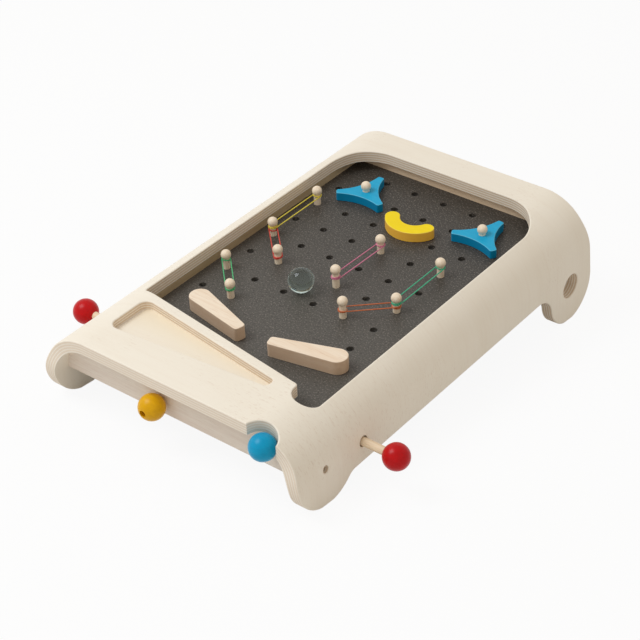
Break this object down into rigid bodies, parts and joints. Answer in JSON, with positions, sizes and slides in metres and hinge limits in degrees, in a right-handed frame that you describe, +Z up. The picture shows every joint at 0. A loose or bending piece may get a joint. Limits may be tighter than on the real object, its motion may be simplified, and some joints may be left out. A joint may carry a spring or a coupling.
{
  "type": "tabletop pinball game",
  "caption": "Bent-plywood tabletop pinball game with a sloping peg-hole playfield, push-rod flippers, a spring plunger, star and crescent bumpers and banded pegs.",
  "frame": {"origin": "middle of the game's bounding box on the table plane under its feet", "axes": "+X to the player's right, +Y away from the player and up the slope, +Z up"},
  "size_m": [0.391, 0.4758, 0.1225],
  "materials": {
    "birch_ply": "clear matt lacquer, ply lines on the cut edges",
    "pale_board": "clear matt lacquer",
    "rail_wood": "clear matt lacquer",
    "playfield_board": "matt laminate with a fine speckle",
    "beech": "clear satin lacquer",
    "peg_wood": "bare turned wood",
    "red_lacquer": "gloss lacquer on wood",
    "yellow_lacquer": "gloss lacquer on wood",
    "blue_lacquer": "gloss lacquer on wood",
    "rubber_yellow": "soft matt rubber",
    "rubber_red": "soft matt rubber",
    "rubber_green": "soft matt rubber",
    "rubber_pink": "soft matt rubber",
    "rubber_orange": "soft matt rubber",
    "steel": "plain bright steel",
    "clear_glass": "clear polished glass"
  },
  "bodies": {
    "frame": {"shell": "birch_ply", "playfield": "playfield_board", "front_board": "pale_board", "back_board": "pale_board", "left_rail": "rail_wood", "left_cleat": "pale_board", "right_cleat": "pale_board", "playfield_screws": "steel", "rod_guide_left": "pale_board", "rod_guide_right": "pale_board", "yellow_knob_screw": "steel", "star_peg_left": "peg_wood", "star_peg_right": "peg_wood", "return_spring_left": "steel", "return_spring_right": "steel", "plunger_spring": "steel", "peg_01": "peg_wood", "peg_02": "peg_wood", "peg_03": "peg_wood", "peg_04": "peg_wood", "peg_05": "peg_wood", "peg_06": "peg_wood", "peg_07": "peg_wood", "peg_08": "peg_wood", "peg_09": "peg_wood", "peg_10": "peg_wood", "band_yellow": "rubber_yellow", "band_red": "rubber_red", "band_green_left": "rubber_green", "band_pink": "rubber_pink", "band_orange": "rubber_orange", "band_green_right": "rubber_green"},
    "push_left": {"push_rod_left": "beech", "red_knob_left": "red_lacquer", "drive_pin_left": "steel", "rod_collar_left": "beech", "rod_stop_left": "beech"},
    "paddle_left": {"flipper_left": "beech", "flipper_shaft_left": "beech", "crank_left": "beech"},
    "spinner_left": {"star_left": "blue_lacquer"},
    "push_right": {"push_rod_right": "beech", "red_knob_right": "red_lacquer", "drive_pin_right": "steel", "rod_collar_right": "beech", "rod_stop_right": "beech"},
    "paddle_right": {"flipper_right": "beech", "flipper_shaft_right": "beech", "crank_right": "beech"},
    "spinner_right": {"star_right": "blue_lacquer"},
    "plunger": {"plunger_rod": "beech", "plunger_knob": "blue_lacquer", "plunger_striker": "beech"},
    "bead": {"yellow_knob": "yellow_lacquer"},
    "crescent": {"crescent_bumper": "yellow_lacquer", "crescent_dowel": "peg_wood"},
    "ball": {"marble": "clear_glass"}
  },
  "joints": [
    {"name": "push_left", "type": "slide", "parent": "frame", "child": "push_left", "axis": [1, 0, 0], "range_m": [0, 0.02], "stiffness_N_per_m": 100, "springref_m": -0.02, "deforming": ["return_spring_left"]},
    {"name": "flipper_left", "type": "hinge", "parent": "frame", "child": "paddle_left", "pos_m": [-0.071, -0.10028, 0.06862], "axis": [0, -0.0951, 0.9955], "range_deg": [0, 26.8]},
    {"name": "push_right", "type": "slide", "parent": "frame", "child": "push_right", "axis": [-1, 0, 0], "range_m": [0, 0.02], "stiffness_N_per_m": 100, "springref_m": -0.02, "deforming": ["return_spring_right"]},
    {"name": "flipper_right", "type": "hinge", "parent": "frame", "child": "paddle_right", "pos_m": [0.0886, -0.10028, 0.06862], "axis": [0, -0.0951, 0.9955], "range_deg": [-26.8, 0]},
    {"name": "plunger_pull", "type": "slide", "parent": "frame", "child": "plunger", "axis": [0, -0.9955, -0.0951], "range_m": [0, 0.015], "stiffness_N_per_m": 150, "springref_m": -0.01, "deforming": ["plunger_spring"]},
    {"name": "bead_spin", "type": "hinge", "parent": "frame", "child": "bead", "pos_m": [-0.019, -0.22387, 0.04476], "axis": [0, 0.9955, 0.0951], "continuous": true},
    {"name": "star_left_spin", "type": "hinge", "parent": "frame", "child": "spinner_left", "pos_m": [-0.0595, 0.13763, 0.09136], "axis": [0, -0.0951, 0.9955], "continuous": true},
    {"name": "star_right_spin", "type": "hinge", "parent": "frame", "child": "spinner_right", "pos_m": [0.0805, 0.13763, 0.09136], "axis": [0, -0.0951, 0.9955], "continuous": true},
    {"name": "crescent_turn", "type": "hinge", "parent": "frame", "child": "crescent", "pos_m": [0.0105, 0.10279, 0.08803], "axis": [0, -0.0951, 0.9955], "range_deg": [-80, 80]},
    {"name": "marble_roll", "type": "slide", "parent": "frame", "child": "ball", "axis": [0, 0.9955, 0.0951], "range_m": [-0.045, 0.09]}
  ],
  "couplings": [
    {"joint": "flipper_left", "follows": "push_left", "rad_per_m": 23.374},
    {"joint": "flipper_right", "follows": "push_right", "rad_per_m": -23.374}
  ]
}
